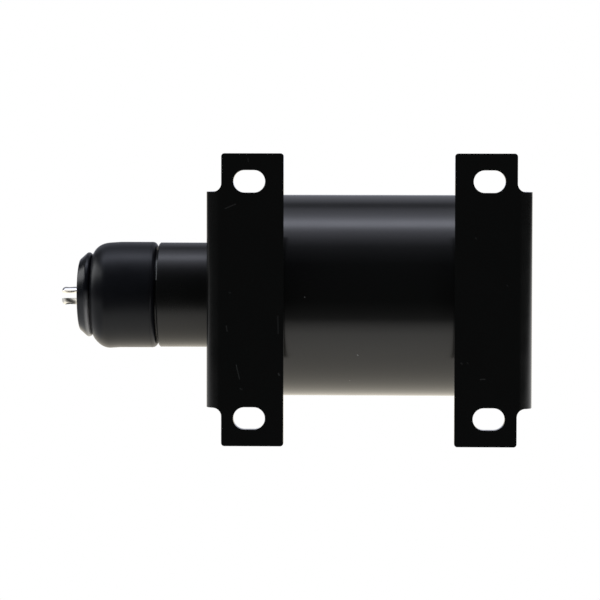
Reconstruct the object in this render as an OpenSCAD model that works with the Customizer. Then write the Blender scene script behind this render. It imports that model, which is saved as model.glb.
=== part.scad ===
// Pull solenoid with two slotted L brackets, a round nose, a rubber boot and a forked plunger rod.
// Millimetres. X runs along the plunger towards the rear, Z is up and the bracket feet stand on Z = 0.
// The origin lies in the plane of the feet, midway between the four slots.

/* [Housing] */
// Outside diameter of the housing tube
housing_d = 52.4; // [48:0.1:56]
// Wall of the housing tube
housing_wall = 2.5; // [2:0.1:3]
// Length of the housing tube between the two brackets
housing_len = 77.2; // [74:0.2:90]
// How far the housing tube lies above the inside of the bends
foot_gap = 0.1; // [0.05:0.05:1]
// Chamfer on the ends of the housing tube
tube_chamfer = 0.4; // [0.2:0.1:0.8]

/* [Brackets] */
// Sheet thickness of the brackets
sheet_t = 2.3; // [1.8:0.1:3]
// Inside radius of the bend
bend_r = 1.6; // [1:0.1:2.4]
// Width of a foot from its bend to its free edge
foot_w = 15.6; // [14:0.1:19]
// Length of a foot over its two tabs
foot_len = 73.4; // [72:0.2:84]
// How far a flange stands out past the housing at each side
flange_lip = 0.9; // [0.5:0.1:2]
// Radius of the relief between a tab and the bend
relief_r = 2.1; // [1:0.1:3]
// Radius of the tab corners
tab_corner_r = 0.8; // [0.4:0.1:2]

/* [Mounting slots] */
// Width of a slot
slot_w = 5.6; // [4.6:0.1:6.6]
// Length of a slot, end to end
slot_len = 8; // [7:0.1:9]
// Distance between slots across the housing
slot_pitch_y = 59.4; // [58.6:0.2:61]
// Distance from the bend to the slot centres
slot_inset = 7; // [6:0.1:8]

/* [Nose] */
// Outside diameter of the nose
nose_d = 27.3; // [26:0.1:30]
// Length of the nose from the front bracket to its shoulder
nose_len = 14; // [12:0.2:20]
// Wall of the thin front of the nose, under the boot
nose_wall = 1.3; // [1.1:0.1:1.6]
// Length of the thin front of the nose
spigot_len = 6.5; // [6:0.1:8]
// Thickness of the lip that stops the plunger
nose_lip = 2; // [1.4:0.1:2.6]
// Thickness of the stop washer behind the lip
bumper_t = 1.2; // [0.8:0.1:2]

/* [Boot] */
// Outside diameter of the boot
boot_d = 27.6; // [27:0.1:29]
// Wall of the boot where it flexes
boot_wall = 1.5; // [1.2:0.1:2]
// Length of the boot
boot_len = 20.4; // [20:0.2:26]
// Radius of the boot's shoulder
shoulder_r = 5; // [4:0.1:6]
// Diameter of the front face of the ring at the front of the boot
boot_front_d = 19.6; // [18:0.2:21]
// Largest diameter of that ring, at its rear
boot_ring_d = 22.4; // [21.4:0.2:23.4]
// Length of the ring, over which it widens
boot_ring_len = 2.3; // [1.8:0.1:3]
// Radius of the ring's front edge
boot_ring_edge = 0.6; // [0.3:0.1:1]
// Diameter of the valley behind the ring
boot_neck_d = 20.2; // [19.4:0.1:20.8]
// Length of the slope from the ring down to the valley
boot_flank_len = 0.8; // [0.5:0.1:1.2]
// Gap between the boot's rim and the shoulder of the nose
boot_gap = 0.5; // [0.2:0.1:1]

/* [Plunger] */
// Diameter of the plunger
plunger_d = 19; // [17:0.1:19.6]
// Travel of the plunger
stroke = 8; // [6:0.5:10]
// Diameter of the plunger rod
rod_d = 5.6; // [5:0.1:6.4]
// How far the rod stands out of the boot
rod_reach = 4.7; // [4.2:0.1:6]
// Radius of the edge round the rod's end
rod_tip_r = 1; // [0.5:0.1:1.2]
// Width of the slot in the rod's fork
fork_slot = 2.4; // [1.6:0.1:2.8]
// Depth of that slot
fork_depth = 4.5; // [4:0.1:5]
// How far the rod is turned about its axis, in degrees
fork_turn = 12; // [0:1:20]
// Diameter of the cross hole for the link pin
pin_hole_d = 2.4; // [2:0.1:2.6]
// Distance from the rod's end to the cross hole
pin_inset = 2; // [1.8:0.1:2.4]
// Length of the rod inside the plunger
rod_hold = 14; // [10:0.5:18]

/* [Pole and spring] */
// Length of the cone on the plunger and of the matching recess in the pole
cone_len = 5; // [3:0.5:7]
// How far the pole face lies behind the middle of the part
pole_face_x = 4; // [2:0.5:8]
// Thickness of the washer that keeps the plunger off the pole
shim_t = 0.3; // [0.2:0.1:0.5]
// Wire diameter of the return spring
spring_wire = 1.1; // [0.9:0.1:1.3]
// Outside diameter of the return spring
spring_d = 9.3; // [8.4:0.1:9.6]
// Depth of the spring's seat in the plunger
plunger_seat = 22; // [18:0.5:24]
// Depth of the spring's seat in the pole
pole_seat = 13; // [10:0.5:16]
// Number of turns of the return spring
spring_turns = 11; // [8:1:13]

/* [Coil] */
// Wall of the bobbin's barrel
bobbin_wall = 1.25; // [1:0.05:1.6]
// Thickness of the bobbin's flanges
bobbin_flange = 1.8; // [1.4:0.1:2.4]
// Thickness of the tape round the winding
wrap_t = 0.6; // [0.4:0.1:0.8]
// Diameter of the winding wire, with its enamel
wire_d = 1.5; // [1:0.1:2]
// Wall of the brass guide tube
guide_wall = 0.6; // [0.5:0.05:0.7]
// Thickness of the front end plate
front_plate_t = 4; // [3:0.2:6]
// Thickness of the rear end plate
rear_plate_t = 5; // [3.6:0.2:6]
// Length of the space behind the bobbin for the terminals
terminal_room = 7.3; // [7.3:0.1:10]

/* [Terminals] */
// Distance between the two studs
stud_pitch = 17; // [16:0.5:19]
// Diameter of a stud
stud_d = 4.8; // [4:0.1:4.8]
// Height of the studs above the block
stud_h = 12.5; // [11:0.5:16]
// Width of the terminal block along the housing
block_w = 12.5; // [11:0.5:13.5]
// Length of the terminal block across the housing
block_len = 31; // [30:0.5:34]
// Height of the terminal block over the top of the housing
block_h = 4.8; // [4:0.2:8]
// Size of the nuts across their flats
nut_af = 9.5; // [9:0.1:10]
// Thickness of a nut
nut_t = 3.2; // [2.6:0.1:3.6]
// Thickness of a lock washer
washer_t = 1.2; // [0.8:0.1:1.6]

/* [Fits] */
// Radial clearance of the plunger in its guide tube
run_clear = 0.08; // [0.03:0.01:0.1]
// Radial clearance of parts that are pressed or staked together
fit_clear = 0.05; // [0.02:0.01:0.1]
// Clearance between parts that are only slipped together
slip_clear = 0.3; // [0.2:0.05:0.4]

/* [Hidden] */
$fn = 96;
e = 0.01;

// How far a cutting block reaches past what it cuts
cut_reach = 2;
// Width of the plain rim round the cone, and how much the cone narrows
cone_rim = 0.9;
cone_taper = 2;
// Gap between the plunger's cone and the shim at the end of the travel
shim_gap = 0.1;
// Length of the pole's part inside the guide tube behind its recess
pole_fit_len = 5;
// Steps in radius from the pole to its tail, and from the tail to its staked end
tail_step = 2.2;
rivet_step = 2;
// How far the staked end lies below the bracket's face, and the chamfer on it
rivet_sink = 0.1;
rivet_chamfer = 0.4;
// Radial clearance of the rod in the nose's lip and in the stop washer
lip_clear = 0.5;
bumper_clear = 0.7;

// Places along X, from the middle of the housing
half_len = housing_len / 2;
flange_x = half_len + sheet_t;
bend_out = bend_r + sheet_t;
bend_x = flange_x - bend_out;
foot_edge_x = bend_x - foot_w;
slot_x = bend_x - slot_inset;
axis_z = sheet_t + bend_r + foot_gap + housing_d / 2;
front_plate_x = -half_len + front_plate_t;
rear_plate_x = half_len - rear_plate_t;
bobbin_rear_x = rear_plate_x - terminal_room;
nose_shoulder_x = -flange_x - nose_len;
nose_front_x = nose_shoulder_x - spigot_len;
boot_rim_x = nose_shoulder_x - boot_gap;
boot_front_x = boot_rim_x - boot_len;
ring_back_x = boot_front_x + boot_ring_len;
valley_x = ring_back_x + boot_flank_len;
shoulder_core_r = boot_d / 2 - shoulder_r;
shoulder_x = valley_x + sqrt(pow(shoulder_r, 2) - pow(boot_neck_d / 2 - shoulder_core_r, 2));
rod_tip_x = boot_front_x - rod_reach;
stop_x = nose_front_x + nose_lip;
plunger_front_x = stop_x + bumper_t + fit_clear;
seat_gap = shim_t + shim_gap;
plunger_shoulder_x = pole_face_x - stroke - seat_gap;
plunger_rear_x = plunger_shoulder_x + cone_len;
recess_x = pole_face_x + cone_len;

// Clearance round the spring in its seats, and at each of its ends
spring_clear = 0.45;
spring_end_gap = 0.1;
// How far the tape lies under the rims of the bobbin
wrap_drop = 0.55;

// Radii, from the plunger outwards
plunger_r = plunger_d / 2;
guide_in = plunger_r + run_clear;
guide_out = guide_in + guide_wall;
nose_bore = guide_out + 2 * fit_clear;
spigot_r = nose_bore + nose_wall;
stem_r = spigot_r + slip_clear;
rod_r = rod_d / 2;
seat_r = spring_d / 2 + spring_clear;
cone_r = plunger_r - cone_rim;
cone_tip_r = cone_r - cone_taper;
pole_r = guide_in - run_clear / 2;
core_r = guide_out + fit_clear;
core_step_x = recess_x + pole_fit_len;
tail_r = core_r - tail_step;
rivet_r = tail_r - rivet_step;
barrel_in = core_r + fit_clear;
barrel_out = barrel_in + bobbin_wall;
housing_in = housing_d / 2 - housing_wall;
bobbin_r = housing_in - slip_clear;
wrap_out = bobbin_r - wrap_drop;
winding_out = wrap_out - wrap_t;

// The bead that holds the boot on the nose, and the groove that holds the rod in the boot
bead_h = 0.5;
bead_w = 1.2;
bead_inset = 3;
bead_root = 0.2;
bead_x = boot_rim_x - bead_inset;
rod_groove_h = 0.6;
collar_len = 3.5;
collar_wall = 1.7;
groove_x = boot_front_x + collar_len / 2;

// Terminals, over the space behind the bobbin
stud_x = (bobbin_rear_x + rear_plate_x) / 2;
stud_head_clear = 0.45;
boss_clear = 0.15;
head_sink = 1;
boss_sink = 1;
stud_head_r = terminal_room / 2 - stud_head_clear;
stud_head_h = 2.5;
boss_r = terminal_room / 2 - boss_clear;
head_top_z = sqrt(pow(housing_in - head_sink, 2) - pow(stud_pitch / 2 + stud_head_r, 2));
block_top_z = housing_d / 2 + block_h;
block_corner_r = 2;
barrier_t = 1.6;
barrier_h = 6;
lead_w = 3;
lead_t = 0.8;
// Chamfer on the nuts' faces, and how far a washer lies inside a nut's flats
nut_chamfer = 0.1;
washer_inset = 0.5;
washer_split = 0.5;

// Turns a shape that was drawn up the Z axis so that it lies along the housing's axis.
module along_x(x = 0) {
    translate([x, 0, axis_z]) rotate([0, 90, 0]) children();
}

// A cylinder on the housing's axis between two places along X.
module rod_between(x0, x1, r) {
    along_x(x0) cylinder(r = r, h = x1 - x0);
}

// A ring on the housing's axis between two places along X.
module ring_between(x0, x1, r_out, r_in) {
    difference() {
        rod_between(x0, x1, r_out);
        rod_between(x0 - e, x1 + e, r_in);
    }
}

// Revolves an outline about the housing's axis. In the outline, x is the radius and y the place along X.
module revolved() {
    along_x() rotate_extrude() children();
}

// A rectangle with round corners, centred on the origin.
module round_rect(w, l, r) {
    square([w - 2 * r, l], center = true);
    square([w, l - 2 * r], center = true);
    for (sx = [-1, 1], sy = [-1, 1])
        translate([sx * (w / 2 - r), sy * (l / 2 - r)]) circle(r = r, $fn = 32);
}

// A slot with round ends that runs along X.
module slot_outline() {
    run = slot_len - slot_w;
    square([run, slot_w], center = true);
    for (s = [-1, 1])
        translate([s * run / 2, 0]) circle(d = slot_w, $fn = 48);
}

// Outline of a foot and its tabs, seen from below, with the two mounting slots.
module foot_outline() {
    difference() {
        translate([foot_edge_x + foot_w / 2, 0]) round_rect(foot_w, foot_len, tab_corner_r);
        for (s = [-1, 1]) translate([slot_x, s * slot_pitch_y / 2]) slot_outline();
    }
}

// Outline that trims the bend: as wide as the flange, with a round relief beside each tab.
module bend_outline(half_w) {
    difference() {
        translate([bend_x, -half_w - relief_r]) square([bend_out, 2 * (half_w + relief_r)]);
        for (s = [-1, 1]) {
            translate([bend_x + relief_r, s * (half_w + relief_r)]) circle(r = relief_r, $fn = 48);
            translate([bend_x + relief_r, s * (half_w + relief_r) - relief_r])
                square([bend_out, 2 * relief_r]);
        }
    }
}

// One bracket, bent from sheet: a foot with slotted tabs, a bend and a flange with a round top.
module bracket(hole_r) {
    half_w = housing_d / 2 + flange_lip;
    linear_extrude(sheet_t) foot_outline();
    intersection() {
        linear_extrude(bend_out) bend_outline(half_w);
        translate([bend_x, 0, bend_out]) rotate([90, 0, 0])
            difference() {
                cylinder(r = bend_out, h = 2 * (half_w + relief_r), center = true);
                cylinder(r = bend_r, h = 2 * (half_w + relief_r) + cut_reach, center = true);
            }
    }
    difference() {
        union() {
            rod_between(half_len, flange_x, half_w);
            translate([half_len, -half_w, bend_out])
                cube([sheet_t, 2 * half_w, axis_z - bend_out]);
        }
        rod_between(half_len - e, flange_x + e, hole_r);
        translate([half_len - cut_reach, -half_w - cut_reach, -half_w])
            cube([sheet_t + 2 * cut_reach, 2 * (half_w + cut_reach), half_w + bend_out]);
    }
}

module front_bracket() {
    color("#141517") mirror([1, 0, 0]) bracket(stem_r + fit_clear);
}

module rear_bracket() {
    color("#141517") bracket(rivet_r + fit_clear);
}

// Drawn steel tube with two holes in its top for the terminal block's bosses.
module housing_tube() {
    color("#1b1c1e") difference() {
        revolved() polygon([
            [housing_in, -half_len],
            [housing_d / 2 - tube_chamfer, -half_len],
            [housing_d / 2, -half_len + tube_chamfer],
            [housing_d / 2, half_len - tube_chamfer],
            [housing_d / 2 - tube_chamfer, half_len],
            [housing_in, half_len]
        ]);
        for (s = [-1, 1])
            translate([stud_x, s * stud_pitch / 2, axis_z + housing_in / 2])
                cylinder(r = boss_r + fit_clear, h = housing_d);
    }
}

// Steel disc that closes the front of the magnetic circuit round the nose.
module front_end_plate() {
    color("#7d8085") ring_between(-half_len, front_plate_x, housing_in - fit_clear, stem_r + fit_clear);
}

// Steel disc that closes the rear and carries the pole.
module rear_end_plate() {
    color("#7d8085") ring_between(rear_plate_x, half_len, housing_in - fit_clear, tail_r + fit_clear);
}

// Turned nose: a stem staked into the end plate, the plain barrel, and a thin grooved front with a lip.
module nose_tube() {
    chamfer = 0.35;
    groove_r = spigot_r - bead_h;
    color("#18191b") revolved() difference() {
        polygon([
            [0, front_plate_x],
            [stem_r, front_plate_x],
            [stem_r, -flange_x],
            [nose_d / 2, -flange_x],
            [nose_d / 2, nose_shoulder_x + chamfer],
            [nose_d / 2 - chamfer, nose_shoulder_x],
            [spigot_r, nose_shoulder_x],
            [spigot_r, bead_x + bead_w / 2],
            [groove_r, bead_x + bead_w / 2],
            [groove_r, bead_x - bead_w / 2],
            [spigot_r, bead_x - bead_w / 2],
            [spigot_r, nose_front_x + chamfer],
            [spigot_r - chamfer, nose_front_x],
            [0, nose_front_x]
        ]);
        translate([0, stop_x]) square([nose_bore, front_plate_x - stop_x + e]);
        translate([0, nose_front_x - e]) square([rod_r + lip_clear, nose_lip + 2 * e]);
    }
}

// Rubber washer on which the plunger comes to rest.
module nose_bumper() {
    color("#2a2a2c") ring_between(stop_x, stop_x + bumper_t, nose_bore - fit_clear, rod_r + bumper_clear);
}

// Thin brass tube in which the plunger slides.
module guide_tube() {
    color("#c9a24a") ring_between(stop_x + bumper_t + slip_clear, core_step_x - slip_clear, guide_out, guide_in);
}

// Moulded bobbin. Its barrel runs on to the rear plate and its rear flange lets the two leads out.
module bobbin() {
    color("#d9d3c0") difference() {
        union() {
            rod_between(front_plate_x, rear_plate_x, barrel_out);
            rod_between(front_plate_x, front_plate_x + bobbin_flange, bobbin_r);
            rod_between(bobbin_rear_x - bobbin_flange, bobbin_rear_x, bobbin_r);
        }
        rod_between(front_plate_x - e, rear_plate_x + e, barrel_in);
        for (s = [-1, 1]) lead_at(s, slip_clear);
    }
}

// Copper winding, with the crowns of its outer layer of turns.
module coil_winding() {
    x0 = front_plate_x + bobbin_flange;
    x1 = bobbin_rear_x - bobbin_flange;
    turns = floor((x1 - x0) / wire_d);
    pitch = (x1 - x0) / turns;
    core_out = winding_out - pitch / 4;
    color("#b06a3a") revolved() {
        translate([barrel_out, x0]) square([core_out - barrel_out, x1 - x0]);
        intersection() {
            translate([barrel_out, x0]) square([winding_out, x1 - x0]);
            for (i = [0:turns - 1])
                translate([core_out - pitch / 4, x0 + (i + 0.5) * pitch]) circle(d = pitch, $fn = 24);
        }
    }
}

// Insulating tape round the winding.
module coil_wrap() {
    color("#e0d8b0") ring_between(front_plate_x + bobbin_flange, bobbin_rear_x - bobbin_flange, wrap_out, winding_out + fit_clear);
}

// Fixed steel pole with a conical recess, a spring seat and a tail staked through plate and bracket.
module pole_core() {
    color("#8b8e93") revolved() difference() {
        polygon([
            [0, pole_face_x],
            [pole_r, pole_face_x],
            [pole_r, core_step_x],
            [core_r, core_step_x],
            [core_r, rear_plate_x],
            [tail_r, rear_plate_x],
            [tail_r, half_len],
            [rivet_r, half_len],
            [rivet_r, flange_x - rivet_sink - rivet_chamfer],
            [rivet_r - rivet_chamfer, flange_x - rivet_sink],
            [0, flange_x - rivet_sink]
        ]);
        polygon([[0, pole_face_x - e], [cone_r, pole_face_x - e], [cone_r, pole_face_x], [cone_tip_r, recess_x], [0, recess_x]]);
        translate([0, recess_x - e]) square([seat_r, pole_seat + e]);
    }
}

// Brass washer at the bottom of the pole's recess.
module pole_shim() {
    color("#c9a24a") ring_between(recess_x - shim_t, recess_x, cone_tip_r - fit_clear, seat_r + fit_clear);
}

// Steel plunger: a front bore for the rod, and behind it a cone with the spring's seat.
module plunger() {
    chamfer = 0.6;
    color("#9a9ca0") revolved() difference() {
        polygon([
            [0, plunger_front_x],
            [plunger_r - chamfer, plunger_front_x],
            [plunger_r, plunger_front_x + chamfer],
            [plunger_r, plunger_shoulder_x],
            [cone_r, plunger_shoulder_x],
            [cone_tip_r, plunger_rear_x],
            [0, plunger_rear_x]
        ]);
        translate([0, plunger_front_x - e]) square([rod_r + fit_clear, rod_hold + slip_clear]);
        translate([0, plunger_rear_x - plunger_seat]) square([seat_r, plunger_seat + e]);
    }
}

// Plated rod with a forked end, a cross hole for the link's pin and a groove that the boot grips.
module plunger_rod() {
    groove_r = rod_r - rod_groove_h;
    color("#c8cacd") difference() {
        revolved() polygon([
            [0, rod_tip_x],
            [rod_r - rod_tip_r, rod_tip_x],
            each [for (a = [15:15:75]) [rod_r - rod_tip_r + rod_tip_r * sin(a), rod_tip_x + rod_tip_r - rod_tip_r * cos(a)]],
            [rod_r, rod_tip_x + rod_tip_r],
            [rod_r, groove_x - bead_w / 2],
            [groove_r, groove_x - bead_w / 2],
            [groove_r, groove_x + bead_w / 2],
            [rod_r, groove_x + bead_w / 2],
            [rod_r, plunger_front_x + rod_hold],
            [0, plunger_front_x + rod_hold]
        ]);
        translate([rod_tip_x, 0, axis_z]) rotate([-fork_turn, 0, 0]) {
            translate([-cut_reach, -fork_slot / 2, -rod_d])
                cube([fork_depth + cut_reach, fork_slot, 2 * rod_d]);
            translate([pin_inset, 0, 0]) rotate([90, 0, 0])
                cylinder(d = pin_hole_d, h = 2 * rod_d, center = true, $fn = 48);
        }
    }
}

// Outer half-section of the boot: skirt, round shoulder, tight valley and tapered front ring.
module boot_outer() {
    r = boot_d / 2;
    rim_r = 0.5;
    front_r = boot_front_d / 2;
    edge = boot_ring_edge;
    translate([0, shoulder_x]) square([r, boot_rim_x - rim_r - shoulder_x]);
    translate([0, boot_rim_x - 2 * rim_r]) square([r - rim_r, 2 * rim_r]);
    translate([r - rim_r, boot_rim_x - rim_r]) circle(r = rim_r, $fn = 32);
    translate([shoulder_core_r, shoulder_x]) circle(r = shoulder_r);
    polygon([
        [0, boot_front_x],
        [front_r - edge, boot_front_x],
        each [for (a = [15:15:75]) [front_r - edge + edge * sin(a), boot_front_x + edge - edge * cos(a)]],
        [front_r, boot_front_x + edge],
        [boot_ring_d / 2, ring_back_x],
        [boot_neck_d / 2, valley_x],
        [shoulder_core_r, shoulder_x + e],
        [0, shoulder_x + e]
    ]);
}

// Hollow of the boot: the seat on the nose, the open inside and the hole for the rod.
module boot_hollow() {
    r = boot_d / 2 - boot_wall;
    inner_r = shoulder_r - boot_wall;
    seat_x = nose_front_x + slip_clear;
    translate([0, seat_x]) square([spigot_r + fit_clear, boot_rim_x - seat_x + e]);
    translate([0, shoulder_x]) square([r, seat_x - shoulder_x + e]);
    translate([0, shoulder_x - inner_r]) square([r - inner_r, inner_r + e]);
    translate([r - inner_r, shoulder_x]) circle(r = inner_r);
    translate([0, boot_front_x + boot_wall]) square([boot_neck_d / 2 - boot_wall, shoulder_x - boot_front_x - boot_wall]);
    translate([0, boot_front_x - e]) square([rod_r + fit_clear, collar_len]);
}

// Moulded rubber boot. Its skirt snaps over the nose and its front ring grips the rod.
module boot() {
    bead_r = spigot_r - bead_h + fit_clear;
    grip_r = rod_r - rod_groove_h + fit_clear;
    color("#17181a") revolved() {
        difference() {
            boot_outer();
            boot_hollow();
        }
        translate([bead_r, bead_x - bead_w / 2 + fit_clear]) square([bead_h + bead_root, bead_w - 2 * fit_clear]);
        translate([rod_r + fit_clear, boot_front_x]) square([collar_wall, collar_len]);
        translate([grip_r, groove_x - bead_w / 2 + fit_clear]) square([rod_groove_h + bead_root, bead_w - 2 * fit_clear]);
    }
}

// Points of a circle of the spring's wire at turn t, square to the axis.
function spring_x(t, n, x0, x1) =
    let (closed = spring_wire * 1.2, open = (x1 - x0 - 2 * closed) / (n - 2))
    t < 1 ? x0 + t * closed : t > n - 1 ? x1 - (n - t) * closed : x0 + closed + (t - 1) * open;

// Round wire spring with closed ends, swept along its helix.
module return_spring() {
    steps = 16;
    sides = 8;
    r = (spring_d - spring_wire) / 2;
    x0 = plunger_rear_x - plunger_seat + spring_wire / 2 + spring_end_gap;
    x1 = recess_x + pole_seat - spring_wire / 2 - spring_end_gap;
    rings = spring_turns * steps;
    points = [for (i = [0:rings]) let (t = i / steps, a = 360 * t, x = spring_x(t, spring_turns, x0, x1))
        for (k = [0:sides - 1]) let (b = 360 * k / sides, d = r + spring_wire / 2 * cos(b))
            [x + spring_wire / 2 * sin(b), d * cos(a), axis_z + d * sin(a)]];
    faces = concat(
        [[for (k = [0:sides - 1]) k]],
        [for (i = [0:rings - 1], k = [0:sides - 1]) let (n = (k + 1) % sides)
            [i * sides + k, (i + 1) * sides + k, (i + 1) * sides + n, i * sides + n]],
        [[for (k = [sides - 1:-1:0]) rings * sides + k]]);
    color("#9fa3a8") polyhedron(points = points, faces = faces, convexity = 10);
}

// Moulded terminal block: a saddle on the housing with a boss for each stud and a barrier between them.
module terminal_block() {
    color("#232325") difference() {
        union() {
            difference() {
                translate([stud_x, 0, axis_z]) linear_extrude(block_top_z)
                    round_rect(block_w, block_len, block_corner_r);
                rod_between(stud_x - block_w, stud_x + block_w, housing_d / 2 + fit_clear);
            }
            translate([stud_x - block_w / 2, -barrier_t / 2, axis_z + block_top_z - e])
                cube([block_w, barrier_t, barrier_h]);
            for (s = [-1, 1])
                translate([stud_x, s * stud_pitch / 2, axis_z + head_top_z])
                    cylinder(r = boss_r, h = block_top_z - head_top_z - boss_sink);
        }
        for (s = [-1, 1])
            translate([stud_x, s * stud_pitch / 2, axis_z + head_top_z - e])
                cylinder(r = stud_d / 2 + fit_clear, h = block_top_z);
    }
}

// Plated stud with a round head under the block's boss.
module terminal_stud(side) {
    chamfer = 0.5;
    color("#c2b48a") translate([stud_x, side * stud_pitch / 2, axis_z]) {
        translate([0, 0, head_top_z - stud_head_h]) cylinder(r = stud_head_r, h = stud_head_h);
        translate([0, 0, head_top_z - e]) cylinder(d = stud_d, h = block_top_z + stud_h - chamfer - head_top_z + e);
        translate([0, 0, block_top_z + stud_h - chamfer])
            cylinder(d1 = stud_d, d2 = stud_d - 2 * chamfer, h = chamfer);
    }
}

// Heights of the nuts over the block: one that holds the stud and one that holds the wire's ring.
nut_z = [0, nut_t + washer_t];

// Four hexagon nuts with chamfered corners.
module terminal_nuts() {
    face_r = nut_af / 2 - nut_chamfer;
    color("#c2b48a") for (s = [-1, 1], z = nut_z)
        translate([stud_x, s * stud_pitch / 2, axis_z + block_top_z + z]) difference() {
            intersection() {
                cylinder(r = nut_af / 2 / cos(30), h = nut_t, $fn = 6);
                cylinder(r1 = face_r + nut_t / tan(30), r2 = face_r, h = nut_t);
            }
            translate([0, 0, -e]) cylinder(d = stud_d + 2 * fit_clear, h = nut_t + 2 * e);
        }
}

// Two split lock washers between the nuts.
module terminal_washers() {
    color("#c2b48a") for (s = [-1, 1])
        translate([stud_x, s * stud_pitch / 2, axis_z + block_top_z + nut_t]) difference() {
            cylinder(d = nut_af - 2 * washer_inset, h = washer_t);
            translate([0, 0, -e]) cylinder(d = stud_d + 2 * fit_clear, h = washer_t + 2 * e);
            translate([0, -washer_split / 2, -e]) cube([nut_af, washer_split, washer_t + 2 * e]);
        }
}

// Flat copper lead from the winding to a stud's head, grown by g for the notch that it passes.
module lead_at(side, g = 0) {
    x0 = bobbin_rear_x - bobbin_flange;
    translate([x0 - g, side * stud_pitch / 2 - lead_w / 2 - g, axis_z + head_top_z - stud_head_h - lead_t - g])
        cube([stud_x + stud_head_r - x0 + 2 * g, lead_w + 2 * g, lead_t + 2 * g]);
}

module coil_lead(side) {
    color("#b06a3a") lead_at(side);
}

front_bracket();
rear_bracket();
housing_tube();
front_end_plate();
rear_end_plate();
nose_tube();
nose_bumper();
guide_tube();
bobbin();
coil_winding();
coil_wrap();
pole_core();
pole_shim();
return_spring();
plunger();
plunger_rod();
boot();
terminal_block();
terminal_stud(-1);  // terminal_stud_1
terminal_stud(1);  // terminal_stud_2
terminal_nuts();
terminal_washers();
coil_lead(-1);  // coil_lead_1
coil_lead(1);  // coil_lead_2
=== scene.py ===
# Engine speed solenoid: a tubular pull solenoid that stands on two slotted L-shaped feet.
import math

import bmesh
import bpy
from mathutils import Matrix, Vector


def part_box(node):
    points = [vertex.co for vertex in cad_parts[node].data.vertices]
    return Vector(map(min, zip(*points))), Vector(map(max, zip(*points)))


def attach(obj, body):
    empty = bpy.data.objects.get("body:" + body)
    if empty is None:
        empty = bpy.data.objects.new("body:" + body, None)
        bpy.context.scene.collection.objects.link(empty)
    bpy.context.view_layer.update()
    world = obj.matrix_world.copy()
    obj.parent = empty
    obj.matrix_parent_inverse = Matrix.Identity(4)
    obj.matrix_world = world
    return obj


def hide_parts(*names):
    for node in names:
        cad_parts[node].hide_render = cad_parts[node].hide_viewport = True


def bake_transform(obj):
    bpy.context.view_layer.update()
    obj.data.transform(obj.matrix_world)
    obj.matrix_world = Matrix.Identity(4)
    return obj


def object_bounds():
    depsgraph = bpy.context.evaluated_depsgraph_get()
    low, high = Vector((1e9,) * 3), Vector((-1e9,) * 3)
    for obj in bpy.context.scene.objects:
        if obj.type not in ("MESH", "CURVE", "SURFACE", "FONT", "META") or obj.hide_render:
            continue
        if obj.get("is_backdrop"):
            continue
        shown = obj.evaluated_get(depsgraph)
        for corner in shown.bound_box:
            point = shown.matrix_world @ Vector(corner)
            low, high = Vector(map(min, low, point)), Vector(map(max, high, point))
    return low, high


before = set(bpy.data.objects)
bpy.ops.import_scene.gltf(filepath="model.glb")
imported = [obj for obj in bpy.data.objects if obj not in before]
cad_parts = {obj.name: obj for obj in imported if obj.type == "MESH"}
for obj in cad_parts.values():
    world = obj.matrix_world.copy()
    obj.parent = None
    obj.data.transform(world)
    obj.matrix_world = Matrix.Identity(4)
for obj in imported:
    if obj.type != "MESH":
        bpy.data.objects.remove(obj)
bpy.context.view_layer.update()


# Housing tube
# A drawn steel tube that closes the magnetic circuit round the coil. It is sprayed with black enamel
# together with its brackets, after the ends are pressed on, and its cut edges are lightly rounded.
MM = 0.001
FULL_TURN = 2 * math.pi
TUBE_WALL = 2.5 * MM
TUBE_EDGE = 0.35 * MM
TUBE_STEPS = 256
SHARP_ANGLE = math.radians(32)
MERGE_DISTANCE = MM / 1000

tube_low, tube_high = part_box("housing_tube")
tube_radius = (tube_high.y - tube_low.y) / 2
axis_height = (tube_high.z + tube_low.z) / 2


def arc(centre_x, centre_r, radius, start, end, steps=6):
    """Points (place along X, distance from the axis) of a rounded corner, between two angles in degrees."""
    points = []
    for i in range(steps + 1):
        angle = math.radians(start + (end - start) * i / steps)
        points.append((centre_x + radius * math.cos(angle), centre_r + radius * math.sin(angle)))
    return points


def turned(outline, steps):
    """A bmesh of a closed outline of (x, r) points that is turned about the housing's axis."""
    shape = bmesh.new()
    corners = [shape.verts.new((x, 0, r)) for x, r in outline]
    edges = [shape.edges.new(pair) for pair in zip(corners, corners[1:] + corners[:1])]
    bmesh.ops.spin(
        shape, geom=corners + edges, cent=(0, 0, 0), axis=(1, 0, 0), dvec=(0, 0, 0),
        angle=FULL_TURN, steps=steps, use_merge=True, use_duplicate=False,
    )
    bmesh.ops.remove_doubles(shape, verts=shape.verts, dist=MERGE_DISTANCE)
    bmesh.ops.recalc_face_normals(shape, faces=shape.faces)
    bmesh.ops.translate(shape, verts=shape.verts, vec=(0, 0, axis_height))
    return shape


def piece_from(shape, name, material, weighted=True):
    """Turns a bmesh into an object with smooth faces that break at its sharp edges."""
    mesh = bpy.data.meshes.new(name)
    shape.to_mesh(mesh)
    shape.free()
    mesh.shade_smooth()
    mesh.set_sharp_from_angle(angle=SHARP_ANGLE)
    piece = bpy.data.objects.new(name, mesh)
    bpy.context.scene.collection.objects.link(piece)
    mesh.materials.append(material)
    if weighted:
        normals = piece.modifiers.new("even flats", "WEIGHTED_NORMAL")
        normals.keep_sharp = True
    return piece


def linear(code):
    """A linear colour from an sRGB hex code."""
    values = [int(code[i:i + 2], 16) / 255 for i in (1, 3, 5)]
    return tuple(v / 12.92 if v <= 0.04045 else ((v + 0.055) / 1.055) ** 2.4 for v in values) + (1.0,)


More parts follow.
